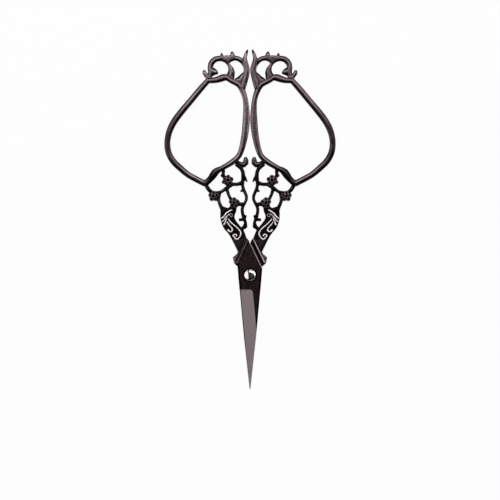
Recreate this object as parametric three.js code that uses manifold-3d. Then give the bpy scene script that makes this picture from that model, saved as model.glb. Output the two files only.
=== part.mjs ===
// Embroidery scissors with cast openwork handles, lying shut on their back. Millimetres, +Z up.
// The pivot axis is Z through the origin, the points reach to -Y and the finger bows to +Y.
import * as THREE from 'three';
import { mergeVertices } from 'three/addons/utils/BufferGeometryUtils.js';
import Module from 'manifold-3d';

const wasm = await Module();
wasm.setup();

// Blades
const BLADE_REACH = 38.6; // pivot axis to the points
const BLADE_THICKNESS = 1.6;
const BLADE_GAP = 0.1; // running gap between the two inner faces
const BACK_REACH = 4.05; // pivot axis to the blade's back, at the shoulder
const SHOULDER_LEVEL = 2.4; // where the back turns in towards the handle
const APEX_LEVEL = 10.8; // where the turned-in back would meet the closing plane
const APEX_WIDTH = 0.7; // the blunt end of the blade's root
const BEND_LEVEL = -20.6; // where the back turns in more sharply, towards the point
const BEND_REACH = 2.1; // closing plane to the back at that level
const POINT_WIDTH = 0.3;
const PLUNGE_LEVEL = -4.9; // where the grind starts
const PLUNGE_RADIUS = 1.2; // rounding of the grind's upper corner
const GRIND_REACH = 1.0; // closing plane to the grind line, below that corner
const EDGE_SETBACK = 0.2; // the heel of the edge stays this far inside the other blade's back
const HEEL_LEDGE = 0.15; // the unground heel above it stands out this far past that back
const EDGE_THICKNESS = 0.3;
const ROOT_LIP = 0.35; // the root reaches this far past its slanted edge, towards its own casting

// Pivot screw
const SCREW_DIAMETER = 2.5;
const SCREW_FIT = 0.1; // clearance all round in both blades
const HEAD_DIAMETER = 4.0;
const HEAD_SEAT_GAP = 0.1;
const HEAD_HEIGHT = 0.85;
const HEAD_DOME = 0.4; // the rounded part of that height
const RECESS_CLEARANCE = 0.4; // round the head, in the front blade's counterbore
const RECESS_DEPTH = 0.6;
const SLOT_WIDTH = 0.55;
const SLOT_DEPTH = 0.45;
const SLOT_ANGLE = THREE.MathUtils.degToRad(100);
const END_CHAMFER = 0.15;

// Handle castings
const CASTING_DEPTH = 4.0; // over the bows, the shank and the collar
const CLOSING_GAP = 0.2; // between the two castings when shut
const SHOULDER_GAP = 0.5; // casting to the slanted back of a blade
const BOW_REACH = 29; // closing plane to the outside of the bow
const SHANK_HEIGHT = 11.2;
const FILIGREE_HEIGHT = 10;
const BOW_HEIGHT = 34;
const CROWN_HEIGHT = 10.4;
const BOW_WIDTH = 1.9;
const PILLAR_WIDTH = 1.9;
const ARCH_WIDTH = 1.5;
const CROWN_DEPTH = 3.4;
const STEM_WIDTH = 0.95;
const STEM_DEPTH = 2.8;
const FLOWER_DIAMETER = 3.7;
const FLOWER_DEPTH = 3.2;
const PETAL_COUNT = 5;
const PETAL_DIAMETER = 1.5;
const PISTIL_DIAMETER = 1.2;
const PISTIL_DEPTH = 3.6;
const RING_WIDTH = 0.9; // each of the two rings of the collar, and its flare
const RING_PITCH = 0.6;
const RING_STAGGER = 0.85; // the second ring ends this far short of the blade's shoulder
const NECK_LEAN_RATIO = 0.55; // the inside edge climbs by this share of the distance off the blade
const LIP_STAGGER_SHARE = 0.7; // share of a stagger by which the first ring and the blade's lip end short
const NECK_DEPTH = 3.5; // the casting between the rings
const NECK_REACH = 2.35; // blade's slanted back to the outside of the neck
const FLARE_LENGTH = 1.9; // the spur at the collar's outer corner
const FLARE_SPREAD = 0.85; // it leans away from the blade by this much
const FLARE_STAGGER = 2.1; // it ends this far short of the blade's shoulder
const SHANK_BEVEL = 0.5;

// The tang that holds a blade in its casting
const TANG_LENGTH = 8;
const TANG_WIDTH = 2.6;
const TANG_THICKNESS = 0.8;
const TANG_FIT = 0.15;
const TANG_TILT = THREE.MathUtils.degToRad(18.5); // leans out with the shank

// How finely round things are cut
const ROUND_SIDES = 24;
const FLOWER_SIDES = 10;
const CORNER_STEPS = 6; // straight pieces in the grind's upper corner
const STROKE_PIECE = 1.3; // longest straight piece of a curved bar
const EDGE_STEPS = 12; // straight pieces along each side of the shank
const LAND_SHARE = 0.42; // flat land on a bar's front and back, against its width
const DEPTH_RATIO = 3.5; // a bar is at most this deep for its half width, so tips thin out

// The ornament is drawn on a chart. Columns count outwards from the closing plane and rows upwards
// from the pivot. The bands of the pattern meet at CHART_ROWS, and the heights above say how tall
// each band is. A point is a column, a row and how far its bar swells against its own width.
const CHART_COLUMN_COUNT = 29;
const CHART_ROWS = [10.8, 22, 32, 66, 76.4];
const BAND_HEIGHTS = [SHANK_HEIGHT, FILIGREE_HEIGHT, BOW_HEIGHT, CROWN_HEIGHT];

// The finger bow: an outer bar from the crown round to the foot, and an inner bar back up again
const OUTER_BAR = [
  [14.1, 66, 0.9], [17.05, 62.7, 1], [20.1, 59.05, 1.03], [23.1, 55.5, 1.08], [25.7, 52.05, 1.08],
  [27.35, 48.7, 1.03], [28.08, 45, 0.97], [27.65, 41.4, 1.02], [26, 38.45, 1.05], [23.95, 36.45, 1.05],
  [20.95, 33.95, 1], [17.95, 32.3, 1], [15.2, 30.9, 1],
];
const INNER_BAR = [
  [7.9, 67, 0.85], [6.5, 65.9, 0.85], [4.9, 65.2, 0.9], [3.5, 64.3, 0.95], [2.5, 62.6, 0.95],
  [1.6, 60, 0.85], [1.2, 56.5, 0.98], [1.2, 52.5, 1.2], [1.6, 48, 1.15], [2.15, 45, 1.05],
  [2.8, 42.4, 0.95], [3.8, 40.2, 0.88], [5.8, 38.35, 0.95], [7.9, 37.05, 0.85], [9.9, 35.95, 0.82],
  [11.25, 35.3, 1.1], [12.15, 34.3, 1.3], [13.2, 32.75, 1.05], [15.1, 31, 1],
];
const TOP_BAR = [
  [14.2, 65.85, 0.85], [12, 65.95, 0.95], [10.3, 66.4, 1.1], [9, 66.9, 1.2], [7.7, 66.9, 0.95],
];

// The crown: two arches on a horned pillar, with a leaf between them
const PILLAR = [
  [0.7, 76.3, 0.22], [1.1, 75.2, 0.42], [1.5, 74.2, 0.55], [1.65, 73, 0.7], [1.45, 71.6, 0.9],
  [1.05, 70, 1], [1.05, 68.8, 1.02], [1.5, 66.8, 1.1], [2.05, 65, 1.15], [2.3, 63.2, 0.9],
];
const LARGE_ARCH = [
  [14, 65.9, 0.9], [13.45, 67.6, 0.95], [13.4, 69.3, 1.05], [13.4, 70.8, 1.15], [12.9, 72.05, 1.2],
  [11.65, 73.1, 1.2], [10.15, 73.35, 1.1], [8.85, 73, 0.95], [7.9, 72.25, 0.75], [7.1, 71.2, 0.55],
  [6.5, 70.1, 1], [6.2, 69, 1.4], [6.5, 67.8, 1.75], [6.6, 66.6, 1.6],
];
const SMALL_ARCH = [
  [7.6, 72, 0.7], [6.5, 73, 0.95], [5.3, 73.45, 1], [4, 73.3, 1], [2.8, 72.6, 1],
  [1.85, 71.5, 1], [1.3, 70.4, 0.9],
];
const CROWN_LEAVES = [
  [[13.3, 68.8, 1.6], [12.6, 68.85, 1.95], [11.9, 68.75, 1.4], [11.2, 68.5, 0.75], [10.8, 68.35, 0.3]],
  [[9.5, 73.3, 0.9], [9.55, 74.35, 0.6], [9.6, 75.2, 0.2]],
  [[5.8, 73.3, 1.4], [5.95, 74.6, 0.95], [6.05, 75.65, 0.35]],
  [[7.45, 72.4, 1.2], [7.45, 73.5, 1.3], [7.45, 74.2, 0.75]],
  [[6.3, 73.5, 0.7], [7.5, 73.75, 0.8], [9, 73.6, 0.7]],
  [[14.1, 66.3, 0.7], [14.75, 67.45, 0.8], [15.4, 68.4, 0.85], [15.6, 69.3, 0.5]],
  [[1.8, 68.2, 0.9], [2.6, 66.9, 1.5], [3.2, 65.9, 1.9], [4.9, 65.7, 1.2]],
];

// The filigree between the bow and the shank
const STEMS = [
  [[15, 30.9, 1.3], [14.3, 29.4, 1.3], [13.25, 28.2, 1.25], [12, 27.8, 1.05], [10.8, 27.9, 1],
    [9.55, 28.25, 0.95], [8.55, 28.95, 1.05], [7.65, 29.6, 1.3], [6.8, 30.3, 1.45],
    [5.75, 30.75, 1.15], [4.4, 30.7, 1.1], [3.2, 31, 1.2], [2.4, 31.6, 1.1]],
  [[4.7, 37.6, 1.3], [3.35, 36.6, 1.3], [2.5, 35.5, 1.15], [2.25, 34.2, 1.25], [2.2, 33, 1.3],
    [2.4, 31.7, 1.15], [2.45, 30.4, 1], [2.1, 29, 1.05], [1.5, 27.7, 1], [1.05, 26.4, 0.95],
    [1.2, 25.3, 0.9], [1.8, 24.2, 0.95], [2.35, 23.2, 1], [2.6, 22.2, 1], [2.45, 21, 1],
    [2.15, 19.7, 1.05], [1.55, 18.3, 0.9], [1.4, 17.2, 1.05], [1.55, 16.5, 1.6], [2.4, 15.7, 1]],
  [[9.05, 36.4, 1], [8.95, 35, 1.05], [9.05, 33.9, 1.05], [8.35, 32.6, 1.1]],
  [[7.75, 29.1, 1.1], [7.45, 27.9, 1], [6.95, 26.6, 0.95], [6.15, 25.2, 1]],
  [[10.2, 27.9, 1.05], [10.6, 26, 1.05], [10.5, 24.9, 1.05], [10.1, 23.8, 1.05], [9.5, 22.6, 1.3],
    [8.9, 21, 1.6]],
  [[4.7, 24, 1.3], [3.2, 24, 1.3], [1.9, 23.8, 1.1]],
];
const BUDS = [
  [[4.7, 38.4, 1.4], [3.2, 37.6, 1.4], [2.2, 37.3, 1.9], [1.4, 37.9, 2], [1.3, 39, 1.65],
    [1.45, 39.9, 0.8]],
  [[2.05, 33.7, 0.9], [1.35, 32.4, 0.8], [0.85, 31.5, 0.2]],
  [[2.1, 28.9, 0.9], [3.1, 28.3, 0.6]],
  [[8.95, 34.3, 0.9], [9.75, 33.4, 0.7]],
  [[8.4, 31.7, 1.4], [9.45, 31.3, 0.8]],
  [[2.15, 19.9, 0.9], [1.15, 19.8, 0.85]],
  [[1.8, 18.8, 0.9], [3.65, 18.7, 0.95]],
];
const FLOWERS = [[7.35, 32.1], [12.3, 26.7], [5.3, 24.5]];

// The shank's edges: up its inside from the collar, across under the filigree, down its outside
const SHANK_INSIDE = [[1.25, 12.9], [2.25, 15.3], [3.7, 17], [4.95, 18.7], [5.25, 20], [4.65, 21.6]];
const SHANK_TOP = [[4.4, 23.6], [6.2, 23.6], [7.4, 22.6], [8.9, 23.1]];
const SHANK_OUTSIDE = [[9.9, 21.8], [9.9, 19], [8.85, 16], [6.7, 13.3]];
const SHANK_WAIST = 3.9; // closing plane to the outside, just above the collar
const SHANK_WAIST_LEVEL = 7.5;

const HALF_DEPTH = CASTING_DEPTH / 2;
const BLADE_FACE = BLADE_GAP / 2 + BLADE_THICKNESS; // mid-plane to a blade's outer face
const BACK_ANGLE = Math.atan2(BACK_REACH, APEX_LEVEL - SHOULDER_LEVEL);

const plating = new THREE.MeshStandardMaterial({ color: 0x5a494b, roughness: 0.4, metalness: 0.9 });
const steel = new THREE.MeshStandardMaterial({ color: 0x4d4648, roughness: 0.4, metalness: 1 });
const polishedSteel = new THREE.MeshStandardMaterial({ color: 0xd8d8da, roughness: 0.15, metalness: 1 });

// A closed three.js geometry as a solid that can be joined and cut
function solid(geometry) {
  const bare = new THREE.BufferGeometry().setAttribute('position', geometry.getAttribute('position'));
  bare.setIndex(geometry.getIndex());
  const merged = mergeVertices(bare);
  return new wasm.Manifold(new wasm.Mesh({
    numProp: 3,
    vertProperties: new Float32Array(merged.attributes.position.array),
    triVerts: new Uint32Array(merged.index.array),
  }));
}

function geometryOf(body) {
  const mesh = body.getMesh();
  const geometry = new THREE.BufferGeometry();
  geometry.setAttribute('position', new THREE.BufferAttribute(new Float32Array(mesh.vertProperties), 3));
  geometry.setIndex(new THREE.BufferAttribute(new Uint32Array(mesh.triVerts), 1));
  geometry.computeVertexNormals();
  return geometry;
}

function piece(name, body, material) {
  const mesh = new THREE.Mesh(geometryOf(body), material);
  mesh.name = name;
  return mesh;
}

const join = (bodies) => bodies.reduce((whole, body) => whole.add(body));

// Rings of points, each with as many as the last, as a closed skin with flat ends
function loft(rings) {
  const count = rings[0].length;
  const index = [];
  for (let i = 0; i + 1 < rings.length; i += 1) {
    for (let k = 0; k < count; k += 1) {
      const next = (k + 1) % count;
      const a = i * count + k;
      const b = i * count + next;
      index.push(a, b, b + count, a, b + count, a + count);
    }
  }
  const last = (rings.length - 1) * count;
  for (let k = 1; k + 1 < count; k += 1) {
    index.push(0, k + 1, k, last, last + k, last + k + 1);
  }
  return new THREE.BufferGeometry().setFromPoints(rings.flat()).setIndex(index);
}

// A plate from one level to another, with an optional bevel all round both faces
function plate(points, from, to, bevel = 0) {
  return new THREE.ExtrudeGeometry(new THREE.Shape(points), {
    depth: to - from - 2 * bevel,
    bevelEnabled: bevel > 0,
    bevelThickness: bevel,
    bevelSize: bevel,
    bevelOffset: -bevel,
    bevelSegments: 1,
  }).translate(0, 0, from + bevel);
}

// A turned body on the Z axis: profile points are a radius and a level, from the bottom up
function turned(profile, sides) {
  const points = profile.map(([radius, level]) => new THREE.Vector2(radius, level));
  return new THREE.LatheGeometry(points, sides).rotateX(Math.PI / 2);
}

const drum = (diameter, from, to) => turned(
  [[0, from], [diameter / 2, from], [diameter / 2, to], [0, to]],
  ROUND_SIDES,
);

// Where a point of the ornament's chart lies
function chart(column, row) {
  let level = APEX_LEVEL;
  BAND_HEIGHTS.forEach((height, band) => {
    const rise = (row - CHART_ROWS[band]) / (CHART_ROWS[band + 1] - CHART_ROWS[band]);
    level += height * THREE.MathUtils.clamp(rise, 0, 1);
  });
  const nearest = CLOSING_GAP / 2;
  return new THREE.Vector2(nearest + column * (BOW_REACH - nearest) / CHART_COLUMN_COUNT, level);
}

// A point beside the slanted back of the other half's blade: along it from the apex, and off it
function besideBack(along, off) {
  const sine = Math.sin(BACK_ANGLE);
  const cosine = Math.cos(BACK_ANGLE);
  return new THREE.Vector2(along * sine + off * cosine, APEX_LEVEL - along * cosine + off * sine);
}

// A bar through stations of x, y and half width: upright sides, and a chamfered land on each face
function bar(stations, depth) {
  const rings = stations.map(({ x, y, z: half }, i) => {
    const before = stations[Math.max(i - 1, 0)];
    const after = stations[Math.min(i + 1, stations.length - 1)];
    const left = new THREE.Vector2(before.y - after.y, after.x - before.x).normalize();
    const deep = Math.min(depth / 2, DEPTH_RATIO * half);
    const land = LAND_SHARE * half;
    const side = deep - (half - land);
    const section = [[half, -side], [half, side], [land, deep], [-land, deep]];
    const ring = [...section, ...section.map(([across, level]) => [-across, -level])];
    return ring.map(([across, level]) => new THREE.Vector3(x + across * left.x, y + across * left.y, level));
  });
  return loft(rings);
}

function stroke(points, width, depth) {
  const curve = new THREE.CatmullRomCurve3(points.map(([column, row, swell]) => {
    const { x, y } = chart(column, row);
    const half = swell * width / 2;
    return new THREE.Vector3(Math.max(x, CLOSING_GAP / 2 + half), y, half);
  }));
  const steps = Math.ceil(curve.getLength() / STROKE_PIECE) + 1;
  return bar(curve.getSpacedPoints(steps), depth);
}

// A round bead with chamfered faces, centred on the casting's mid-plane
function bead(diameter, depth) {
  const radius = diameter / 2;
  const deep = depth / 2;
  const profile = [
    [0, -deep],
    [radius / 2, -deep],
    [radius, radius / 2 - deep],
    [radius, deep - radius / 2],
    [radius / 2, deep],
    [0, deep],
  ];
  return turned(profile, FLOWER_SIDES);
}

function flower(column, row) {
  const { x, y } = chart(column, row);
  const petals = Array.from({ length: PETAL_COUNT }, (_, count) => (
    bead(PETAL_DIAMETER, FLOWER_DEPTH)
      .translate(0, (FLOWER_DIAMETER - PETAL_DIAMETER) / 2, 0)
      .rotateZ(2 * Math.PI * count / PETAL_COUNT)));
  return [...petals, bead(PISTIL_DIAMETER, PISTIL_DEPTH)].map((shape) => shape.translate(x, y, 0));
}

function shank() {
  const place = (points) => points.map(([column, row]) => chart(column, row));
  const waist = new THREE.Vector2(SHANK_WAIST, SHANK_WAIST_LEVEL);
  const outside = new THREE.SplineCurve([...place(SHANK_OUTSIDE), waist]).getPoints(EDGE_STEPS);
  const inside = new THREE.SplineCurve(place(SHANK_INSIDE)).getPoints(EDGE_STEPS);
  const edge = [...outside, ...inside, ...place(SHANK_TOP)];
  return plate(edge.reverse(), -HALF_DEPTH, HALF_DEPTH, SHANK_BEVEL);
}

// The collar: a neck with two rings across it and a flare at its outer corner. The first ring is level
// with the casting's own blade and the second with the other one, which leaves that blade room to turn.
function collar() {
  const length = (APEX_LEVEL - SHOULDER_LEVEL) / Math.cos(BACK_ANGLE);
  const offs = [0, 1].map((count) => SHOULDER_GAP + RING_WIDTH / 2 + count * RING_PITCH);
  const rib = (start, end, from, to) => {
    const stations = [start, end].map(({ x, y }) => new THREE.Vector3(x, y, RING_WIDTH / 2));
    return bar(stations, to - from).translate(0, 0, (from + to) / 2);
  };
  const ring = (off, stagger, from, to) => (
    rib(besideBack(-NECK_LEAN_RATIO * off, off), besideBack(length - stagger, off), from, to));
  const flareEnd = length - FLARE_STAGGER;
  const flareOff = NECK_REACH - RING_WIDTH / 2;
  const neck = (off, from, to) => plate([
    besideBack(-NECK_LEAN_RATIO * off, off),
    besideBack(-NECK_LEAN_RATIO * NECK_REACH, NECK_REACH),
    besideBack(length - 3 * RING_STAGGER, NECK_REACH),
    besideBack(length - 2 * RING_STAGGER, off),
  ], from, to);
  return [
    ring(offs[0], LIP_STAGGER_SHARE * RING_STAGGER, -HALF_DEPTH, -BLADE_GAP / 2),
    ring(offs[1], RING_STAGGER, 0, HALF_DEPTH),
    rib(
      besideBack(flareEnd - FLARE_LENGTH, flareOff),
      besideBack(flareEnd, flareOff + FLARE_SPREAD),
      -HALF_DEPTH,
      HALF_DEPTH,
    ),
    neck(offs[0], -NECK_DEPTH / 2, -BLADE_GAP / 2),
    neck(offs[1], -NECK_DEPTH / 2, NECK_DEPTH / 2),
  ];
}

// The tang runs from inside the blade's root up into the shank; fit grows it into its pocket
function tang(fit) {
  const level = -(BLADE_GAP + BLADE_THICKNESS) / 2;
  const half = TANG_WIDTH / 2 + fit;
  const thick = TANG_THICKNESS / 2 + fit;
  const end = TANG_LENGTH + fit;
  const outline = [[-half, -TANG_WIDTH], [half, -TANG_WIDTH], [half, end], [-half, end]];
  const foot = besideBack((APEX_LEVEL - SHOULDER_LEVEL) / 2, 0);
  return plate(outline.map(([x, y]) => new THREE.Vector2(x, y)), level - thick, level + thick)
    .rotateZ(-TANG_TILT)
    .translate(foot.x, foot.y, 0);
}

function handle() {
  const shapes = [
    ...[OUTER_BAR, INNER_BAR, TOP_BAR].map((points) => stroke(points, BOW_WIDTH, CASTING_DEPTH)),
    stroke(PILLAR, PILLAR_WIDTH, CASTING_DEPTH),
    ...[LARGE_ARCH, SMALL_ARCH, ...CROWN_LEAVES].map((points) => stroke(points, ARCH_WIDTH, CROWN_DEPTH)),
    ...[...STEMS, ...BUDS].map((points) => stroke(points, STEM_WIDTH, STEM_DEPTH)),
    ...FLOWERS.flatMap(([column, row]) => flower(column, row)),
    shank(),
    ...collar(),
  ];
  return join(shapes.map(solid)).subtract(solid(tang(TANG_FIT)));
}

// The block that the grinding wheel takes off a blade: its top is the ground face, which runs from the
// cutting edge to the grind line, and its upper corner is rounded
function grinding(heel) {
  const lean = (heel - POINT_WIDTH / 2) / (BLADE_REACH + PLUNGE_LEVEL);
  const edge = (level) => heel + lean * (level - PLUNGE_LEVEL);
  const corner = PLUNGE_LEVEL - PLUNGE_RADIUS;
  const slope = (BLADE_THICKNESS - EDGE_THICKNESS) / (edge(corner) + GRIND_REACH);
  const round = new THREE.Path()
    .absarc(PLUNGE_RADIUS - GRIND_REACH, corner, PLUNGE_RADIUS, Math.PI / 2, Math.PI)
    .getPoints(CORNER_STEPS);
  const outside = 2 * BACK_REACH;
  const outline = [
    new THREE.Vector2(outside, PLUNGE_LEVEL),
    ...round,
    new THREE.Vector2(-outside, corner),
    new THREE.Vector2(-outside, -2 * BLADE_REACH),
    new THREE.Vector2(outside, -2 * BLADE_REACH),
  ];
  return plate(outline, -CASTING_DEPTH, 0)
    .applyMatrix4(new THREE.Matrix4().makeShear(0, slope, 0, -slope * lean, 0, 0))
    .translate(0, 0, -BLADE_GAP / 2 - EDGE_THICKNESS - slope * edge(0));
}

// A blade with its outer face down: its back is on -X and its cutting edge on +X
function blade() {
  const inner = -BLADE_GAP / 2;
  const tip = POINT_WIDTH / 2;
  const back = THREE.MathUtils.mapLinear(PLUNGE_LEVEL, SHOULDER_LEVEL, BEND_LEVEL, BACK_REACH, BEND_REACH);
  const heel = back - EDGE_SETBACK;
  const blank = [
    new THREE.Vector2(-BACK_REACH, SHOULDER_LEVEL),
    new THREE.Vector2(-BEND_REACH, BEND_LEVEL),
    new THREE.Vector2(-tip, -BLADE_REACH),
    new THREE.Vector2(tip, -BLADE_REACH),
    new THREE.Vector2(heel, PLUNGE_LEVEL),
    new THREE.Vector2(back + HEEL_LEDGE, PLUNGE_LEVEL),
    new THREE.Vector2(BACK_REACH + HEEL_LEDGE, SHOULDER_LEVEL),
  ];
  const length = (APEX_LEVEL - SHOULDER_LEVEL) / Math.cos(BACK_ANGLE);
  const tipRow = APEX_LEVEL - APEX_WIDTH / 2 / Math.tan(BACK_ANGLE);
  const root = [
    new THREE.Vector2(-BACK_REACH, SHOULDER_LEVEL),
    new THREE.Vector2(BACK_REACH, SHOULDER_LEVEL),
    besideBack(length - LIP_STAGGER_SHARE * RING_STAGGER, ROOT_LIP),
    besideBack(0, ROOT_LIP),
    new THREE.Vector2(-APEX_WIDTH / 2, tipRow),
  ];
  const whole = join([plate(blank, -BLADE_FACE, inner), plate(root, -BLADE_FACE, inner), tang(0)].map(solid));
  return whole.subtract(solid(grinding(heel)));
}

function frontBlade() {
  const bore = drum(SCREW_DIAMETER + 2 * SCREW_FIT, -CASTING_DEPTH, CASTING_DEPTH);
  const recess = drum(HEAD_DIAMETER + 2 * RECESS_CLEARANCE, -CASTING_DEPTH, RECESS_DEPTH - BLADE_FACE);
  return blade().subtract(solid(bore)).subtract(solid(recess));
}

function rearBlade() {
  const bore = drum(SCREW_DIAMETER + 2 * SCREW_FIT, -CASTING_DEPTH, CASTING_DEPTH);
  return blade().subtract(solid(bore));
}

// The screw stands in the rear blade; its domed head sits in the front blade's counterbore
function pivotScrew() {
  const radius = SCREW_DIAMETER / 2;
  const seat = BLADE_FACE - RECESS_DEPTH + HEAD_SEAT_GAP;
  const top = seat + HEAD_HEIGHT;
  const body = turned([
    [0, -HALF_DEPTH],
    [radius - END_CHAMFER, -HALF_DEPTH],
    [radius, END_CHAMFER - HALF_DEPTH],
    [radius, seat],
    [HEAD_DIAMETER / 2, seat],
    [HEAD_DIAMETER / 2, top - HEAD_DOME],
    [HEAD_DIAMETER / 3, top - HEAD_DOME / 3],
    [0, top],
  ], ROUND_SIDES);
  const slot = new THREE.BoxGeometry(2 * HEAD_DIAMETER, SLOT_WIDTH, 2 * SLOT_DEPTH)
    .rotateZ(SLOT_ANGLE)
    .translate(0, 0, top);
  return solid(body).subtract(solid(slot));
}

// The two halves are alike: the left one is the right one turned over about the closing line
const rightHalf = new THREE.Group();
rightHalf.position.z = HALF_DEPTH;
rightHalf.add(
  piece('right_handle', handle(), plating),
  piece('rear_blade', rearBlade(), steel),
  piece('pivot_screw', pivotScrew(), polishedSteel),
);

const leftHalf = new THREE.Group();
leftHalf.position.z = HALF_DEPTH;
leftHalf.rotation.y = Math.PI;
leftHalf.add(
  piece('left_handle', handle(), plating),
  piece('front_blade', frontBlade(), steel),
);

const scissors = new THREE.Group();
scissors.add(rightHalf, leftHalf);

export default scissors;
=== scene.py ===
# %% [markdown]
# # Embroidery scissors
# A pair of small embroidery scissors: two openwork castings, plated and darkened like old bronze,
# hold two short ground blades that turn on one screw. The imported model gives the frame, in metres,
# with the pivot at the origin, the points towards -Y and the table at z = 0. Everything below is
# fitted to that frame. Sizes are written in millimetres and brought to metres when a piece is done.

# %% Load the frame
import math

import bmesh
import bpy
import numpy as np
from mathutils import Matrix, Vector


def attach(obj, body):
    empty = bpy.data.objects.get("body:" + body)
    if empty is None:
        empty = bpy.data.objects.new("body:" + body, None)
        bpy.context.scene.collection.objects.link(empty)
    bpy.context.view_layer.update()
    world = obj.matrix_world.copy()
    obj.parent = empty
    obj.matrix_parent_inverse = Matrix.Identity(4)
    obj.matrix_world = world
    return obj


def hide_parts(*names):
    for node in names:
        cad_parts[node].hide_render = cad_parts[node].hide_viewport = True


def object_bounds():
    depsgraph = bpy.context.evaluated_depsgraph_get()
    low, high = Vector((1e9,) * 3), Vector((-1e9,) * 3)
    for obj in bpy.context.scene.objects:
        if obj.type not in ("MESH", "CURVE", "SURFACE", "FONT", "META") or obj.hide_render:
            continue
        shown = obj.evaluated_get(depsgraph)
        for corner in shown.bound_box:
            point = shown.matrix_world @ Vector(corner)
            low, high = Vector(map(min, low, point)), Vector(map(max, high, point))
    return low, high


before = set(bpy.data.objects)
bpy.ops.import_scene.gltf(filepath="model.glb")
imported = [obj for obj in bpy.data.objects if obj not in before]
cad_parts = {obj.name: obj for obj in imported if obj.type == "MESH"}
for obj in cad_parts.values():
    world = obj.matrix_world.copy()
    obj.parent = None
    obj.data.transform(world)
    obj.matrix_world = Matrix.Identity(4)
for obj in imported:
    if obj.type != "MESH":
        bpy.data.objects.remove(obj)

cad_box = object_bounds()
MM = 0.001
MIDDLE = 2.0  # mm, level of the plane between the two halves, which are 4 mm deep
print("CAD box, mm:", [[round(x / MM, 2) for x in corner] for corner in cad_box])

# %% [markdown]
# ## Helpers for materials
# A material is a small graph of nodes. Colours are written as the sRGB hex values that a colour
# picker shows and turned to linear light once, here. Pattern scales come from real sizes: a noise
# texture of scale 1000 on coordinates in metres has features of about a millimetre.

# %% Material helpers


def colour(code):
    parts = [int(code[i:i + 2], 16) / 255 for i in (1, 3, 5)]
    linear = [p / 12.92 if p <= 0.04045 else ((p + 0.055) / 1.055) ** 2.4 for p in parts]
    return (*linear, 1.0)


def per_mm(size):
    return 1 / (size * MM)


def node(tree, kind, inputs, **settings):
    made = tree.nodes.new(kind)
    for name, value in settings.items():
        setattr(made, name, value)
    for name, value in inputs.items():
        if isinstance(value, bpy.types.NodeSocket):
            tree.links.new(value, made.inputs[name])
        else:
            made.inputs[name].default_value = value
    return made


def new_material(name):
    material = bpy.data.materials.new(name)
    material.use_nodes = True
    material.node_tree.nodes.clear()
    return material, material.node_tree


# %% [markdown]
# ## Antique plating
# The castings are a zinc alloy that is plated, blackened in a bath and then rubbed, so the black
# stays in the hollows and a brownish-mauve metal comes back on the crests. A mask texture could paint
# that, but wear follows the shape, so each mesh carries a value called "rubbed": 0 in a hollow, 1 on
# a crest. On the castings that value also holds painted shade, on the chamfers of the bars and on the
# face of the right handle. A soft mottle of a few millimetres shifts it, as a rubbing cloth does. The
# grain of a casting is about a tenth of a millimetre, too fine to show here, so it is drawn coarser.

# %% Antique plating
MOTTLE_MM = 2.5
MOTTLE_SWING = 0.24  # between the most and the least that the mottle adds to the wear
GRAIN_MM = 0.9  # drawn about nine times as coarse as it is, so that it shows
PLATING_TONES = [(0.0, "#0d0a0b"), (0.18, "#2a2324"), (0.5, "#63575a"), (0.9, "#a69b9c")]


def antique_plating():
    material, tree = new_material("antique_plating_blackened_and_rubbed")
    place = node(tree, "ShaderNodeTexCoord", {}).outputs["Object"]
    rubbed = node(tree, "ShaderNodeAttribute", {}, attribute_name="rubbed").outputs["Fac"]
    mottle = node(tree, "ShaderNodeTexNoise", {"Vector": place, "Scale": per_mm(MOTTLE_MM), "Detail": 2.0})
    grain = node(tree, "ShaderNodeTexNoise", {"Vector": place, "Scale": per_mm(GRAIN_MM), "Detail": 2.0})
    shift = node(tree, "ShaderNodeMath", {0: mottle.outputs["Fac"], 1: MOTTLE_SWING, 2: -MOTTLE_SWING / 2},
                 operation="MULTIPLY_ADD")
    worn_and_shaded = node(tree, "ShaderNodeMath", {0: rubbed, 1: shift.outputs[0]}, operation="ADD", use_clamp=True)
    tone = node(tree, "ShaderNodeValToRGB", {0: worn_and_shaded.outputs[0]})
    stops = tone.color_ramp.elements
    stops.remove(stops[1])
    stops[0].color = colour(PLATING_TONES[0][1])
    for position, code in PLATING_TONES[1:]:
        stops.new(position).color = colour(code)
    # The black skin is matt and the rubbed metal glossy, which sets them apart as much as the colour.
    rough = node(tree, "ShaderNodeMapRange", {"Value": worn_and_shaded.outputs[0], "From Min": 0.1, "From Max": 0.5,
                                              "To Min": 0.27, "To Max": 0.15})
    bump = node(tree, "ShaderNodeBump", {"Height": grain.outputs["Fac"], "Strength": 0.02,
                                         "Distance": 0.03 * MM})
    shader = node(tree, "ShaderNodeBsdfPrincipled", {
        "Base Color": tone.outputs["Color"], "Metallic": 1.0,
        "Roughness": rough.outputs["Result"], "Normal": bump.outputs["Normal"]})
    node(tree, "ShaderNodeOutputMaterial", {"Surface": shader.outputs["BSDF"]})
    return material


plating = antique_plating()

# %% [markdown]
# ## Steels and bare metal
# The blades leave the forge black and keep that skin on their flats. The grind cuts it away and leaves
# a satin face with fine lines across the blade. The recess round the screw and a band along each side
# are painted near black, as shade. The screw's head is polished. Where steel slides on the castings, and
# where their crests are rubbed through, the metal is bare. One function makes all of these, because
# they differ only in tone, gloss and grain.

# %% Steels and bare metal


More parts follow.
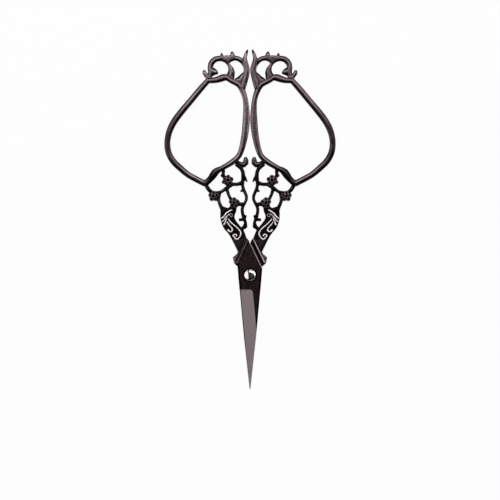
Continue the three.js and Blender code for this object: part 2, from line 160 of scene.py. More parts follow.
def steel(name, code, roughness, grain_mm, contrast, strength):
    material, tree = new_material(name)
    place = node(tree, "ShaderNodeTexCoord", {}).outputs["Object"]
    stretched = node(tree, "ShaderNodeMapping", {
        "Vector": place, "Scale": [per_mm(size) for size in grain_mm]})
    grain = node(tree, "ShaderNodeTexNoise",
                 {"Vector": stretched.outputs["Vector"], "Scale": 1.0, "Detail": 3.0})
    base = colour(code)
    tone = node(tree, "ShaderNodeMix", {
        0: grain.outputs["Fac"], 6: [c * (1 - contrast) for c in base[:3]] + [1],
        7: [c * (1 + contrast) for c in base[:3]] + [1]}, data_type="RGBA")
    bump = node(tree, "ShaderNodeBump", {"Height": grain.outputs["Fac"], "Strength": strength,
                                         "Distance": 0.02 * MM})
    shader = node(tree, "ShaderNodeBsdfPrincipled", {
        "Base Color": tone.outputs[2], "Metallic": 1.0, "Roughness": roughness,
        "Normal": bump.outputs["Normal"]})
    node(tree, "ShaderNodeOutputMaterial", {"Surface": shader.outputs["BSDF"]})
    return material


# Matt and nearly black, with soft blotches as wide as the scale that flaked off in the forge.
black_steel = steel("blackened_steel_forged", "#2c2123", 0.36, (1.6, 1.6, 1.6), 0.8, 0.15)
# Near black: painted shade for the recess round the screw's head and the bands along the blades' sides.
shade_black_steel = steel("black_steel_painted_shade", "#0a0808", 0.4, (0.4, 0.4, 0.4), 0.3, 0.1)
# Satin grey. Real grinding lines are a few hundredths of a millimetre apart, too fine to show, so
# they are drawn 0.12 mm apart.
ground_steel = steel("ground_steel_satin", "#84787a", 0.36, (1.2, 0.12, 0.3), 0.3, 0.15)
# Almost a mirror, so it shows the lights as white patches with sharp rims. Its hair scratches are
# drawn 0.2 mm apart, coarser than they are, so that they show.
polished_steel = steel("polished_steel_turned", "#f1e8e6", 0.13, (0.2, 0.2, 0.2), 0.05, 0.05)
# Bright lines with a soft shine, on the blades' edges and on the collar. The scuffs in these and in
# the scrolls are finer than 0.3 mm in truth, and are drawn at that size so that they show.
slid_steel = steel("slid_steel_bright", "#b8acad", 0.32, (0.3, 0.3, 0.3), 0.08, 0.1)
dull_metal = steel("bare_metal_dull", "#b8acad", 0.32, (0.3, 0.3, 0.3), 0.08, 0.1)
# Nearly white, for the scrolls on the shank.
bare_metal = steel("bare_metal_rubbed", "#fbf3f2", 0.3, (0.3, 0.3, 0.3), 0.08, 0.1)
print("materials:", [material.name for material in bpy.data.materials])

# %% [markdown]
# ## The two castings
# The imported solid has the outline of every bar, stem and leaf, with hard edges. A real casting has
# soft ones. Bevels would fail where dozens of bars cross, so a merged copy is remeshed as voxels,
# which fuses all crossings, then smoothed and swelled back by what the smoothing took off. Before that,
# the beds of the flowers, the field of the shank and the rings of the collar are sunk below their
# ornament, the chamfers of the bars are eased, and a lump rounds off the end of the collar's rings.
# The left casting is the right one turned over about the closing line, as the real pair comes from
# one mould.

# %% Casting helpers
VOXEL = 0.14  # mm


def cad_copy(name):
    bm = bmesh.new()
    bm.from_mesh(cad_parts[name].data)
    bmesh.ops.remove_doubles(bm, verts=bm.verts, dist=1e-7)
    bmesh.ops.scale(bm, vec=(1 / MM,) * 3, verts=bm.verts)
    return bm


def applied(bm, modifiers):
    mesh = bpy.data.meshes.new("work")
    bm.to_mesh(mesh)
    bm.free()
    work = bpy.data.objects.new("work", mesh)
    bpy.context.scene.collection.objects.link(work)
    for kind, settings in modifiers:
        modifier = work.modifiers.new(kind.lower(), kind)
        for key, value in settings.items():
            setattr(modifier, key, value)
    graph = bpy.context.evaluated_depsgraph_get()
    made = bpy.data.meshes.new_from_object(work.evaluated_get(graph))
    bpy.data.objects.remove(work)
    bpy.data.meshes.remove(mesh)
    return made


def shown(name, mesh, materials, body, node_name=None):
    indices = [polygon.material_index for polygon in mesh.polygons]
    mesh.materials.clear()
    for material in materials:
        mesh.materials.append(material)
    mesh.polygons.foreach_set("material_index", indices)
    piece = bpy.data.objects.new(name, mesh)
    bpy.context.scene.collection.objects.link(piece)
    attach(piece, body)
    if node_name:
        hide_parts(node_name)
    return piece


turn_over = Matrix.Translation((0, 0, MIDDLE * MM)) @ Matrix.Rotation(math.pi, 4, "Y") \
    @ Matrix.Translation((0, 0, -MIDDLE * MM))


def shown_on_both(name, mesh, materials, node_name=None):
    other = mesh.copy()
    other.transform(turn_over)
    for side, body, shape in (("right", "right_half", mesh), ("left", "left_half", other)):
        shown(side + "_" + name, shape, materials, body, node_name and side + "_" + node_name)


def store_wear_and_shade(mesh, values):
    attribute = mesh.attributes.new("rubbed", "FLOAT", "POINT")
    attribute.data.foreach_set("value", np.clip(values, 0, 1).astype(np.float32))


def points_of(mesh, what="co"):
    flat = np.zeros(len(mesh.vertices) * 3, np.float32)
    mesh.vertices.foreach_get(what, flat)
    return flat.reshape(-1, 3).astype(float)


# %% The shape of the castings
FLOWERS = [(7.42, 32.1), (12.36, 26.7), (5.38, 24.5)]  # centres, mm
FLOWER_REACH = 1.9
FLOWER_SINK = 0.75  # share of its depth that a flower's bed keeps
SHANK_LEVELS = (12.7, 24.5)  # mm along Y, from the collar's end to the filigree
SCROLL_HEIGHT = 0.24  # mm that the scroll lines stand above the shank's field
COLLAR_SINK = 0.15  # mm that the collar's rings lie below their bright crests
ROLLED_END = (5.0, 5.15)  # x and y of the lump at the end of the collar's rings
ROLLED_SIZE = (0.68, 0.85, 1.75)  # its half sizes
BARS_FROM = (13.5, 41)  # x or y past which a bar belongs to the bow or the crown
CHAMFER_EASE = 1.15  # lifts the foot of each bar's chamfers, which makes them less steep
FACE_LEVEL = 1.9  # mm from the middle plane, just under the casting's face
BED_LEVELS = (1.2, 1.85)  # the beds of the flowers lie between these
CHAMFER_LEVELS = (1.0, 1.6)  # and the feet of the chamfers between these
SMOOTHING_STEPS = 9
SWELLING = 0.1  # mm
about_middle = Matrix.Translation((0, 0, -MIDDLE))


def from_middle(vert):
    return abs(vert.co.z - MIDDLE)


def squeeze(bm, verts, share):
    bmesh.ops.scale(bm, vec=(1, 1, share), space=about_middle, verts=verts)


bm = cad_copy("right_handle")
for centre in FLOWERS:
    near = [v for v in bm.verts if (v.co.xy - Vector(centre)).length < FLOWER_REACH]
    squeeze(bm, [v for v in near if BED_LEVELS[0] < from_middle(v) < BED_LEVELS[1]], FLOWER_SINK)
faces = [v for v in bm.verts if from_middle(v) > FACE_LEVEL]
field = [v for v in faces if SHANK_LEVELS[0] < v.co.y < SHANK_LEVELS[1]]
collar = [v for v in faces if v.co.y < SHANK_LEVELS[0]]
squeeze(bm, field, 1 - SCROLL_HEIGHT / MIDDLE)
squeeze(bm, collar, 1 - COLLAR_SINK / MIDDLE)
bars = [v for v in bm.verts if v.co.x > BARS_FROM[0] or v.co.y > BARS_FROM[1]]
squeeze(bm, [v for v in bars if CHAMFER_LEVELS[0] < from_middle(v) < CHAMFER_LEVELS[1]], CHAMFER_EASE)
end = bmesh.ops.create_uvsphere(bm, u_segments=24, v_segments=16, radius=1)["verts"]
bmesh.ops.scale(bm, vec=ROLLED_SIZE, verts=end)
bmesh.ops.translate(bm, vec=(*ROLLED_END, MIDDLE), verts=end)
casting = applied(bm, [
    ("REMESH", {"mode": "VOXEL", "voxel_size": VOXEL, "adaptivity": 0.0}),
    ("SMOOTH", {"factor": 0.5, "iterations": SMOOTHING_STEPS}),
    ("DISPLACE", {"strength": SWELLING, "mid_level": 0.0}),
])
print("casting:", len(casting.polygons), "faces from voxels")

# %% [markdown]
# ## The wear and the painted shade of the castings
# Wear could be painted by hand, but it follows rules. A crest is rubbed and a hollow is not, so the
# bend of the surface is measured: how far each point stands out from its neighbours. Fingers reach
# the bows and the crown, their flats and their walls, but hardly the stems, which lie lower. The
# chamfers between flat and wall are left black as painted shade, which draws each bar's dark side.

# %% The wear and the painted shade of the castings
APEX_LEVEL = 10.8  # mm, where the slanted backs of the blades meet the closing plane
SHOULDER = (4.05, 2.4)  # where a blade's side turns in to that slant
BACK_ANGLE = math.atan2(SHOULDER[0], APEX_LEVEL - SHOULDER[1])
BLUR_STEPS = 6  # the measured bend is evened out this often


def ramp(values, low, high):
    return np.clip((values - low) / (high - low), 0, 1)


def bend_of(mesh):
    co, normals = points_of(mesh), points_of(mesh, "normal")
    edges = np.zeros(len(mesh.edges) * 2, np.int32)
    mesh.edges.foreach_get("vertices", edges)
    a, b = edges.reshape(-1, 2).T
    degree = np.bincount(a, minlength=len(co)) + np.bincount(b, minlength=len(co))

    def spread(values):
        sums = np.bincount(a, values[b], len(co)) + np.bincount(b, values[a], len(co))
        return sums / degree

    drift = co - np.stack([spread(co[:, axis]) for axis in range(3)], axis=1)
    bend = np.einsum("ij,ij->i", drift, normals) / VOXEL ** 2
    for _ in range(BLUR_STEPS):
        bend = 0.5 * bend + 0.5 * spread(bend)
    return bend


bend = bend_of(casting)
facing = np.abs(points_of(casting, "normal")[:, 2])
height = np.abs(points_of(casting)[:, 2] - MIDDLE) / MIDDLE
across, along = np.abs(points_of(casting)[:, :2]).T
front = points_of(casting)[:, 2] > MIDDLE
grip = np.maximum(ramp(along, 33, 38), ramp(across, 13.5, 16)) * ramp(along, 24, 30)
# Flats and walls are rubbed but the chamfers between them are not, so the chamfers stay black as painted
# shade.
walls = grip * ramp(facing, 0.4, 0.2)
handled_and_shaded = grip * ramp(height, 0.74, 0.88) * ramp(facing, 0.6, 0.8)
# The outside of the bows and the tips of the crown are rubbed less. The front of this casting, the
# face that the right handle shows from above, is painted a little darker, as shade.
handled_and_shaded *= (1.2 - 0.7 * ramp(across, 21, 28)) * (1 - 0.15 * ramp(along, 62, 66)) * (1 - 0.2 * front)
worn_and_shaded = 0.01 + (0.05 + handled_and_shaded) * (0.22 + 0.7 * np.clip(bend, -0.4, 0.45) + 0.1 * facing * height)
# The crests of the stems, the flare of the collar, the neck beside it and the hooked leaves are
# rubbed a little too. The collar's ring lies further out on the front, so the neck starts later there.
stems = ramp(along, 20, 23) * ramp(along, 39, 37) * facing * np.clip(bend - 0.3, 0, 0.4)
flare = ramp(np.hypot(across - 5.2, along - 5.7), 1.17, 0.27)
off_blade = across * math.cos(BACK_ANGLE) + (along - APEX_LEVEL) * math.sin(BACK_ANGLE)
past_ring = off_blade - np.where(front, 1.9, 1.35)
neck = ramp(along, 12.8, 11.8) * ramp(past_ring, 0, 0.3)
hooks = ramp(np.hypot(across - 1.9, along - 38.4), 2.56, 0.96) * facing
worn_and_shaded = np.max([worn_and_shaded, 1.3 * stems, 0.55 * flare, 0.34 * neck, 0.38 * hooks, 0.36 * walls], axis=0)
store_wear_and_shade(casting, worn_and_shaded)
for label, values in (("bend", bend), ("wear", worn_and_shaded)):
    print(label, "at 5, 50 and 95%:", np.percentile(values, [5, 50, 95]).round(2))

# %% [markdown]
# ## The finished castings
# Smoothing and swelling moved the surface a little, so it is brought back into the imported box. The
# voxels gave the flats far more faces than they need, and a Decimate modifier takes those out, which
# keeps the shape better than larger voxels would.

# %% The finished castings
FACES_KEPT = 0.6  # share of the faces
reach = np.abs(points_of(casting) - (0, 0, MIDDLE)).max(axis=0)
room = (cad_box[1][0] / MM, cad_box[1][1] / MM, MIDDLE)
fit = np.minimum(1, room / reach)
casting.transform(Matrix.Translation((0, 0, MIDDLE)) @ Matrix.Diagonal((*fit, 1)) @ about_middle)
bm = bmesh.new()
bm.from_mesh(casting)
casting = applied(bm, [("DECIMATE", {"ratio": FACES_KEPT})])
casting.transform(Matrix.Scale(MM, 4))
casting.shade_smooth()
print("casting:", len(casting.polygons), "faces, fit", fit.round(4))
shown_on_both("casting", casting, [plating], "handle")

# %% [markdown]
# ## The flowers
# Three small flowers sit where the stems meet, with five cupped petals round a pistil, alike on both
# faces. Voxels would blur them, so they are their own pieces. A petal is a ball whose cap is turned
# inwards, which gives it a rim that catches the light round a dark cup.

# %% The flowers
PETAL_COUNT = 5
PETAL_SIZE = (0.66, 0.78, 0.75)  # half width, length and height, mm
PETAL_RIM = 0.65  # share of a petal's half height at which its cap is turned in
CUP_DEPTH = 2.0  # the cap is turned in deeper than it stood up
CUP_WIDTH = 0.9  # and a little narrower
PETAL_DROOP = math.radians(8)  # of its outer end
PETAL_OUT = 1.1  # mm from the middle of the flower
PETAL_LEVEL = 3.3  # mm
PISTIL_RADIUS = 0.42
PISTIL_LEVEL = 3.35
RUBBED_FROM = 0.45  # share of the half height above which the rim is rubbed
RIM_RUBBED, CUP_RUBBED = 0.7, 0.0


def flower_face(bm, rubbed, centre):
    for count in range(PETAL_COUNT):
        made = bmesh.ops.create_uvsphere(bm, u_segments=20, v_segments=18, radius=1.0)["verts"]
        cap = [v for v in made if v.co.z > PETAL_RIM]
        for v in made:
            v[rubbed] = RIM_RUBBED if RUBBED_FROM < v.co.z <= PETAL_RIM else CUP_RUBBED
        at_rim = Matrix.Translation((0, 0, -PETAL_RIM))
        bmesh.ops.scale(bm, vec=(CUP_WIDTH, CUP_WIDTH, -CUP_DEPTH), space=at_rim, verts=cap)
        bmesh.ops.scale(bm, vec=PETAL_SIZE, verts=made)
        bmesh.ops.rotate(bm, cent=(0, 0, 0), matrix=Matrix.Rotation(-PETAL_DROOP, 3, "X"), verts=made)
        bmesh.ops.translate(bm, vec=(0, PETAL_OUT, 0), verts=made)
        turn = Matrix.Rotation(2 * math.pi * count / PETAL_COUNT, 3, "Z")
        bmesh.ops.rotate(bm, cent=(0, 0, 0), matrix=turn, verts=made)
        bmesh.ops.translate(bm, vec=(*centre, PETAL_LEVEL), verts=made)
    pistil = bmesh.ops.create_uvsphere(bm, u_segments=16, v_segments=10, radius=PISTIL_RADIUS)["verts"]
    for v in pistil:
        v[rubbed] = CUP_RUBBED
    bmesh.ops.translate(bm, vec=(*centre, PISTIL_LEVEL), verts=pistil)


bm = bmesh.new()
rubbed_layer = bm.verts.layers.float.new("rubbed")
for centre in FLOWERS:
    flower_face(bm, rubbed_layer, centre)
back = bmesh.ops.duplicate(bm, geom=bm.verts[:] + bm.edges[:] + bm.faces[:])
back_verts = [v for v in back["geom"] if isinstance(v, bmesh.types.BMVert)]
squeeze(bm, back_verts, -1)
bmesh.ops.recalc_face_normals(bm, faces=bm.faces)
flowers = bpy.data.meshes.new("flowers")
bm.to_mesh(flowers)
bm.free()
rise = np.abs(points_of(flowers)[:, 2] - MIDDLE)
flowers.transform(Matrix.Scale(MM, 4))
flowers.shade_smooth()
print("flowers:", len(flowers.polygons), "faces, rise", rise.min().round(2), rise.max().round(2))
shown_on_both("flowers", flowers, [plating])

# %% [markdown]
# ## The scroll lines
# Bright raised lines run over the black shank: two across its top, a leaf between them, and two
# scrolls with rolled ends. They are rubbed down to bare metal. The leaf and the small ring beside it
# keep more of the plating. Curves with a round bevel follow such a line best, with a radius at each
# point for the swelling. They are made a mesh before they are placed.

# %% The scroll lines
SCROLLS = [  # x and y in mm, and the line's swelling
    [(6.2, 22.05, 1.3), (7.1, 21.5, 1.4), (8.05, 20.85, 1.4), (8.6, 20.05, 1.3), (9.65, 19.1, 1.1)],
    [(7.67, 19.7, 0.9), (8.55, 18.8, 0.9), (9.45, 18.0, 0.9)],
    [(7.89, 19.0, 0.8), (8.3, 18.05, 1.0), (8.75, 16.95, 1.4)],
    [(7.85, 18.0, 0.9), (7.0, 16.8, 1.0), (6.0, 15.4, 1.0), (6.25, 14.7, 1.0), (6.9, 14.75, 1.1),
     (7.55, 15.35, 1.5)],
    [(7.45, 19.0, 0.9), (6.33, 17.67, 1.1), (4.78, 16.33, 1.1), (3.55, 15.1, 1.1), (3.1, 14.1, 1.1),
     (3.55, 12.77, 1.1), (4.55, 12.1, 1.1), (5.33, 12.77, 1.1), (5.66, 13.33, 1.1), (5.11, 13.73, 1.1),
     (4.55, 13.45, 1.0), (4.78, 13.0, 0.8)],
]
RING = [(6.9, 20.2, 0.8), (6.4, 20.7, 0.8), (5.9, 20.2, 0.8), (6.4, 19.7, 0.8)]
LEAF = [(6.6, 20.8, 0.5), (7.4, 20.2, 1.1), (8.1, 19.6, 1.1), (8.8, 19.0, 0.5)]
LINE_RADIUS, LEAF_RADIUS = 0.23, 0.42
RING_DROP, LEAF_DROP = 0.02, 0.1  # mm that their crests lie below the casting's face
ORNAMENT_RUBBED = 0.8


def line_mesh(name, paths, radius, crest, closed=False, sides=(-1, 1)):
    curve = bpy.data.curves.new(name, "CURVE")
    curve.dimensions = "3D"
    curve.bevel_depth = radius
    curve.bevel_resolution = 3
    curve.resolution_u = 10
    curve.use_fill_caps = True
    for side in sides:
        for points in paths:
            spline = curve.splines.new("BEZIER")
            spline.use_cyclic_u = closed
            spline.bezier_points.add(len(points) - 1)
            for knot, (x, y, swell) in zip(spline.bezier_points, points):
                knot.co = (x, y, MIDDLE + side * (crest - radius * swell))
                knot.radius = swell
                knot.handle_left_type = knot.handle_right_type = "AUTO"
    work = bpy.data.objects.new(name, curve)
    bpy.context.scene.collection.objects.link(work)
    graph = bpy.context.evaluated_depsgraph_get()
    mesh = bpy.data.meshes.new_from_object(work.evaluated_get(graph))
    bpy.data.objects.remove(work)
    mesh.transform(Matrix.Scale(MM, 4))
    mesh.shade_smooth()
    print(name, len(mesh.polygons), "faces")
    return mesh


shown_on_both("scrolls", line_mesh("scrolls", SCROLLS, LINE_RADIUS, MIDDLE), [bare_metal])
ring = line_mesh("ring", [RING], LINE_RADIUS, MIDDLE - RING_DROP, closed=True)
leaf = line_mesh("leaf", [LEAF], LEAF_RADIUS, MIDDLE - LEAF_DROP)
for name, line in (("ring", ring), ("leaf", leaf)):
    store_wear_and_shade(line, np.full(len(line.vertices), ORNAMENT_RUBBED))
    shown_on_both(name, line, [plating])

# %% [markdown]
# ## The crests of the collar
# A raised ring runs along each face of the collar, beside the slanted back of the blade. Its crest is
# rubbed like the scrolls, brighter on the face where the other blade slides past. The casting has
# the ring itself, so only the thin crest is laid on, as a line of its own on each face.

# %% The crests of the collar
CREST_RADIUS = 0.24
CREST_KNOTS = [(-0.7, 0.7), (2, 0.9), (5, 1.0), (8.1, 1.15)]  # mm down the back, and the swelling there
CRESTS = [  # name, mm off the back, face and metal
    ("outer_crest", 1.55, 1, dull_metal),
    ("inner_crest", 0.97, -1, plating),
]
CREST_RUBBED = 0.5


def beside_back(down, off):
    sine, cosine = math.sin(BACK_ANGLE), math.cos(BACK_ANGLE)
    return down * sine + off * cosine, APEX_LEVEL - down * cosine + off * sine


for name, off, side, metal in CRESTS:
    path = [(*beside_back(down, off), swell) for down, swell in CREST_KNOTS]
    crest = line_mesh(name, [path], CREST_RADIUS, MIDDLE, sides=(side,))
    store_wear_and_shade(crest, np.full(len(crest.vertices), CREST_RUBBED))
    shown_on_both(name, crest, [metal])

# %% [markdown]
# ## The blades
# Each blade is a flat black blank with one ground face towards its edge. The imported solid has those
# planes already, so a merged copy is kept and its edges are broken a little. The root is drawn into
# its own casting, where the real one is cast in, and the free slanted edge of the root is rounded
# and rubbed bright, because it slides past the other casting at each cut. The recess round the screw's
# head and a band along each side are painted near black, as shade. A mask could paint the bands, but
# a cut along the mesh gives them a straight edge.

# %% Blade helpers
FLAT, GROUND, PAINTED_SHADE, SLID = range(4)  # places in a blade's list of materials
ROOT_LIP = 0.35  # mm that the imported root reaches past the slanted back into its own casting
LIP_GROWTH = 0.45  # mm that it is drawn in further
LIP_CLIMB = 0.4  # mm that its top is drawn up along the back
EDGE_GROWTH = 0.18  # mm that the free slanted edge is moved out
EDGE_ROUND = 0.28  # mm, its rounding on the outer face
EDGE_BREAK = 0.06  # mm, the bevel on all other edges
OUTER_LEVEL = 1.5  # mm from the middle plane, just under a blade's outer face
NEAR = 0.03  # mm, how close to a line a point has to lie to be on it
SIDE_BAND = 0.5  # mm, width of the dull band along each side
SIDE_BEND = (2.1, -20.6)  # where a side, which starts at the shoulder, bends in to the point
SIDE_LEAN = math.atan2(SHOULDER[0] - SIDE_BEND[0], SHOULDER[1] - SIDE_BEND[1])
RECESS_RADIUS = 2.45  # round the screw's head
RECESS_LEVELS = (2.95, 3.6)  # mm, from just under its floor to just under the blade's face


def off_back(point, side):
    return side * point.x * math.cos(BACK_ANGLE) + (point.y - APEX_LEVEL) * math.sin(BACK_ANGLE)


def outward(side, distance):
    return (side * distance * math.cos(BACK_ANGLE), distance * math.sin(BACK_ANGLE), 0)


# Paints a band of shade, near black, along each side of a blade's outer flat.
def shade_sides(mesh, up):  # up is 1 or -1, the way that the blade's outer face looks
    bm = bmesh.new()
    bm.from_mesh(mesh)
    for flank in (-1, 1):
        out = Vector((flank * math.cos(SIDE_LEAN), -math.sin(SIDE_LEAN), 0))
        foot = Vector((flank * SHOULDER[0], SHOULDER[1], 0)) - SIDE_BAND * out
        bmesh.ops.bisect_plane(bm, geom=bm.verts[:] + bm.edges[:] + bm.faces[:], dist=0.005,
                               plane_co=foot, plane_no=out)
        for face in bm.faces:
            middle = face.calc_center_median()
            on_flat = face.material_index == FLAT and up * face.normal.z > 0.9 and middle.y < SHOULDER[1]
            if on_flat and (middle - foot).dot(out) > 0:
                face.material_index = PAINTED_SHADE
    bm.to_mesh(mesh)
    bm.free()


# %% The blades


def blade(name, node_name, body, own_side):
    bm = cad_copy(node_name)
    bmesh.ops.dissolve_limit(bm, angle_limit=math.radians(1), verts=bm.verts, edges=bm.edges)
    upper = [v for v in bm.verts if v.co.y > SHOULDER[1] - 0.1]
    lip = [v for v in upper if abs(off_back(v.co, own_side) - ROOT_LIP) < NEAR]
    bmesh.ops.translate(bm, vec=outward(own_side, LIP_GROWTH), verts=lip)
    summit = [v for v in lip if v.co.y > APEX_LEVEL - 1]
    climb = (-own_side * LIP_CLIMB * math.sin(BACK_ANGLE), LIP_CLIMB * math.cos(BACK_ANGLE), 0)
    bmesh.ops.translate(bm, vec=climb, verts=summit)
    free = [v for v in upper if abs(off_back(v.co, -own_side)) < NEAR and v not in lip]
    bmesh.ops.translate(bm, vec=outward(-own_side, EDGE_GROWTH), verts=free)
    for face in bm.faces:
        # The ground face leans a little sideways, which flats and walls don't.
        leans = 0.02 < abs(face.normal.x) < 0.7 and abs(face.normal.z) > 0.7
        face.material_index = GROUND if leans else FLAT
        middle = face.calc_center_median()
        # The recess round the screw's head is painted near black, as shade.
        if middle.xy.length < RECESS_RADIUS and RECESS_LEVELS[0] < middle.z < RECESS_LEVELS[1]:
            face.material_index = PAINTED_SHADE
    edges = [e for e in bm.edges if all(v in free and from_middle(v) > OUTER_LEVEL for v in e.verts)]
    rounded = bmesh.ops.bevel(bm, geom=edges, offset=EDGE_ROUND, offset_type="OFFSET", segments=3,
                              profile=0.5, affect="EDGES", material=-1)
    for face in rounded["faces"]:
        face.material_index = SLID
    print(name, len(lip), "lip points,", len(edges), "free edges,", len(rounded["faces"]), "rounded faces")
    mesh = applied(bm, [("BEVEL", {"width": EDGE_BREAK, "segments": 2, "limit_method": "ANGLE",
                                   "angle_limit": math.radians(30)})])
    shade_sides(mesh, -own_side)
    mesh.transform(Matrix.Scale(MM, 4))
    shown(name, mesh, [black_steel, ground_steel, shade_black_steel, slid_steel], body, node_name)


blade("front_blade_ground", "front_blade", "left_half", -1)
blade("rear_blade_ground", "rear_blade", "right_half", 1)

# %% [markdown]
# ## The pivot screw
# One turned screw holds the blades: a slotted head in the front blade and a plain end in the rear
# one. Its head is flat in the middle and rounded at the rim, and screwdrivers have worn a slope on
# the left of the slot. A turned part is a profile spun round its axis. A plane cuts the slope and a
# block cuts the slot, because a cut leaves the sharp edges that mirror as clear lines.

# %% The turned screw
HEAD_RADIUS, SHANK_RADIUS = 2.0, 1.25  # mm
HEAD_SEAT, HEAD_TOP = 3.15, 4.0  # levels in mm
END_CHAMFER = 0.15
CROWN_DROP = 0.55  # from the middle of the head to its rim
CROWN_FLAT = 0.46  # share of the radius that is flat, before the rim rounds off
CROWN_STEPS = 30


def crown_level(radius):
    rounded = max(0, radius / HEAD_RADIUS - CROWN_FLAT) / (1 - CROWN_FLAT)
    return HEAD_TOP - CROWN_DROP * rounded ** 2


def spun(profile):
    bm = bmesh.new()
    chain = [bm.verts.new((radius, 0, level)) for radius, level in profile]
    edges = [bm.edges.new(pair) for pair in zip(chain, chain[1:])]
    bmesh.ops.spin(bm, geom=chain + edges, cent=(0, 0, 0), axis=(0, 0, 1), angle=2 * math.pi, steps=64,
                   use_merge=True, use_duplicate=False)
    bmesh.ops.remove_doubles(bm, verts=bm.verts, dist=1e-4)
    return bm


profile = [(0, 0), (SHANK_RADIUS - END_CHAMFER, 0), (SHANK_RADIUS, END_CHAMFER),
           (SHANK_RADIUS, HEAD_SEAT), (HEAD_RADIUS, HEAD_SEAT)]
for step in range(CROWN_STEPS + 1):
    radius = HEAD_RADIUS * (1 - step / CROWN_STEPS)
    profile.append((radius, crown_level(radius)))
bm = spun(profile)

# %% The slot and the worn slope
SLOT_WIDTH, SLOT_DEPTH = 0.42, 0.5  # mm
SLOT_LENGTH = 6  # mm, longer than the head is wide
SLOT_SHIFT = -0.38  # mm along X
SLOT_ANGLE = math.radians(94)
WORN_SLOPE = math.radians(17)  # of the head to the left of its slot
SHARP_ANGLE = math.radians(12)  # a steeper edge is drawn sharp
slot_turn = Matrix.Rotation(SLOT_ANGLE, 3, "Z")
across_slot = slot_turn @ Vector((0, 1, 0))
slope = slot_turn @ Vector((0, math.sin(WORN_SLOPE), math.cos(WORN_SLOPE)))
cut = bmesh.ops.bisect_plane(bm, geom=bm.verts[:] + bm.edges[:] + bm.faces[:], clear_outer=True,
                             plane_co=(SLOT_SHIFT, 0, HEAD_TOP), plane_no=slope)
bmesh.ops.holes_fill(bm, edges=[e for e in cut["geom_cut"] if isinstance(e, bmesh.types.BMEdge)])
bmesh.ops.recalc_face_normals(bm, faces=bm.faces)
cutter_mesh = bpy.data.meshes.new("slot_block")
block = bmesh.new()
bmesh.ops.create_cube(block, size=1)
bmesh.ops.scale(block, vec=(SLOT_LENGTH, SLOT_WIDTH, 2 * SLOT_DEPTH), verts=block.verts)
bmesh.ops.rotate(block, cent=(0, 0, 0), matrix=slot_turn, verts=block.verts)
bmesh.ops.translate(block, vec=(SLOT_SHIFT, 0, HEAD_TOP), verts=block.verts)
block.to_mesh(cutter_mesh)
block.free()
cutter = bpy.data.objects.new("slot_block", cutter_mesh)
bpy.context.scene.collection.objects.link(cutter)
screw = applied(bm, [("BOOLEAN", {"object": cutter, "operation": "DIFFERENCE", "solver": "EXACT"})])
bpy.data.objects.remove(cutter)
# No polish reaches the slot, so its walls and floor, which lie below the crown, stay black.
for polygon in screw.polygons:
    off = abs((polygon.center - Vector((SLOT_SHIFT, 0, 0))).dot(across_slot))
    sunk = HEAD_SEAT < polygon.center.z < crown_level(polygon.center.xy.length) - 0.02
    polygon.material_index = 1 if off < 0.51 * SLOT_WIDTH and sunk else 0
screw.transform(Matrix.Scale(MM, 4))
screw.shade_smooth()
screw.set_sharp_from_angle(angle=SHARP_ANGLE)
shown("turned_screw", screw, [polished_steel, black_steel], "right_half", "pivot_screw")
print("screw:", len(screw.polygons), "faces")

# %% [markdown]
# ## The table and the light
# The scissors lie on white paper that turns up far away, so low views end in white as well. The paper
# is partly a glow that only the eye and mirrors see: it makes the ground white without more light on
# the metal, and the rest of it is matt and keeps the shadow.

# %% The table
PAPER_GLOW = 0.96  # share of the paper that glows
PAPER_PROFILE = [(0, 0), (3, 0), (3.6, 0.1), (3.9, 0.35), (4, 0.7)]  # radius and level, m
PAPER_GAP = 0.02 * MM  # below the scissors, so that no two faces lie in one plane
bm = spun(PAPER_PROFILE)
bmesh.ops.translate(bm, vec=(0, 0, -PAPER_GAP), verts=bm.verts)
bmesh.ops.recalc_face_normals(bm, faces=bm.faces)
paper_mesh = bpy.data.meshes.new("white_paper")
bm.to_mesh(paper_mesh)
bm.free()
paper_sheet = bpy.data.objects.new("white_paper", paper_mesh)
bpy.context.scene.collection.objects.link(paper_sheet)


def white_paper():
    material, tree = new_material("white_paper_matt")
    rays = node(tree, "ShaderNodeLightPath", {})
    seen = rays.outputs["Is Camera Ray"]
    for kind in ("Is Glossy Ray", "Is Transmission Ray"):
        either = node(tree, "ShaderNodeMath", {0: seen, 1: rays.outputs[kind]},
                      operation="ADD", use_clamp=True)
        seen = either.outputs[0]
    share = node(tree, "ShaderNodeMath", {0: seen, 1: PAPER_GLOW}, operation="MULTIPLY")
    paper = node(tree, "ShaderNodeBsdfDiffuse", {"Color": colour("#f6f6f6")})
    glow = node(tree, "ShaderNodeEmission", {"Color": (1, 1, 1, 1), "Strength": 1.0})
    mixed = node(tree, "ShaderNodeMixShader",
                 {0: share.outputs[0], 1: paper.outputs[0], 2: glow.outputs[0]})
    node(tree, "ShaderNodeOutputMaterial", {"Surface": mixed.outputs[0]})
    return material


paper_mesh.materials.append(white_paper())

# %% [markdown]
# Metal shows what it mirrors. Seen from above, each flat mirrors the ceiling, so the ceiling is dark
# and the flats go black. A large softbox starts just past the bows and reaches back, and every side
# that leans to +Y mirrors it. The other side stays dark, which draws each bar as a light line beside
# a dark one. A small softbox high on the left lights the ground faces of the blades, and two low ones
# light the walls of the bars. A horizon that fades with height, and towards the points, gives the
# rounded edges something to mirror.

# %% The light


def softbox(name, place, aim, width, height, radiance):
    lamp = bpy.data.lights.new(name, "AREA")
    lamp.shape = "RECTANGLE"
    lamp.size, lamp.size_y = width, height
    lamp.energy = radiance * math.pi * width * height
    box = bpy.data.objects.new(name, lamp)
    box.location = place
    box.rotation_euler = (Vector(aim) - Vector(place)).to_track_quat("-Z", "Y").to_euler()
    bpy.context.scene.collection.objects.link(box)


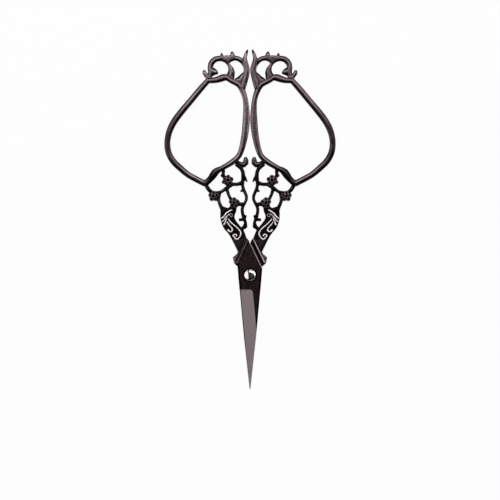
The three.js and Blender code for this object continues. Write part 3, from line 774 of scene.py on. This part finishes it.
# Place, aim, width and height in metres, then the radiance.
softbox("key_softbox", (-0.02, 0.312, 0.59), (0, 0.05, 0), 0.7, 0.48, 2.5)
softbox("blade_softbox", (-0.36, 0.02, 0.5), (0, 0.02, 0), 0.32, 0.26, 1.1)
softbox("left_softbox", (-0.55, 0.04, 0.27), (0, 0.04, 0), 0.44, 0.3, 1.7)
softbox("right_softbox", (0.5, 0.2, 0.25), (0, 0.04, 0), 0.5, 0.28, 1.7)

world = bpy.data.worlds.new("studio")
bpy.context.scene.world = world
world.use_nodes = True
tree = world.node_tree
tree.nodes.clear()
direction = node(tree, "ShaderNodeTexCoord", {}).outputs["Generated"]
axes = node(tree, "ShaderNodeSeparateXYZ", {"Vector": direction})
# Light from low down, none from overhead and none from beyond the points.
low = node(tree, "ShaderNodeMapRange", {"Value": axes.outputs["Z"], "From Min": 0.05, "From Max": 0.75,
                                        "To Min": 0.8, "To Max": 0.0})
behind = node(tree, "ShaderNodeMapRange", {"Value": axes.outputs["Y"], "From Min": -0.35, "From Max": -0.02,
                                           "To Min": 0.0, "To Max": 1.0})
level = node(tree, "ShaderNodeMath", {0: low.outputs["Result"], 1: behind.outputs["Result"], 2: 0.02},
             operation="MULTIPLY_ADD")
sky = node(tree, "ShaderNodeBackground", {"Color": level.outputs[0], "Strength": 1.0})
node(tree, "ShaderNodeOutputWorld", {"Surface": sky.outputs[0]})

# %% [markdown]
# ## The camera
# It looks straight down, as the photograph does, from far enough that the bars show no perspective.

# %% The camera
PHOTO_WIDTH = 169.12 * MM  # of the square that the photo shows
PHOTO_CENTRE = 8.46 * MM  # along Y
CAMERA_HEIGHT = 1.2
lens = bpy.data.cameras.new("camera")
lens.sensor_width = 36
lens.lens = lens.sensor_width * CAMERA_HEIGHT / PHOTO_WIDTH
lens.clip_start, lens.clip_end = 0.01, 20
camera = bpy.data.objects.new("camera", lens)
camera.location = (0, PHOTO_CENTRE, CAMERA_HEIGHT + 2 * MIDDLE * MM)
bpy.context.scene.collection.objects.link(camera)
bpy.context.scene.camera = camera
bpy.context.scene.view_settings.view_transform = "Standard"
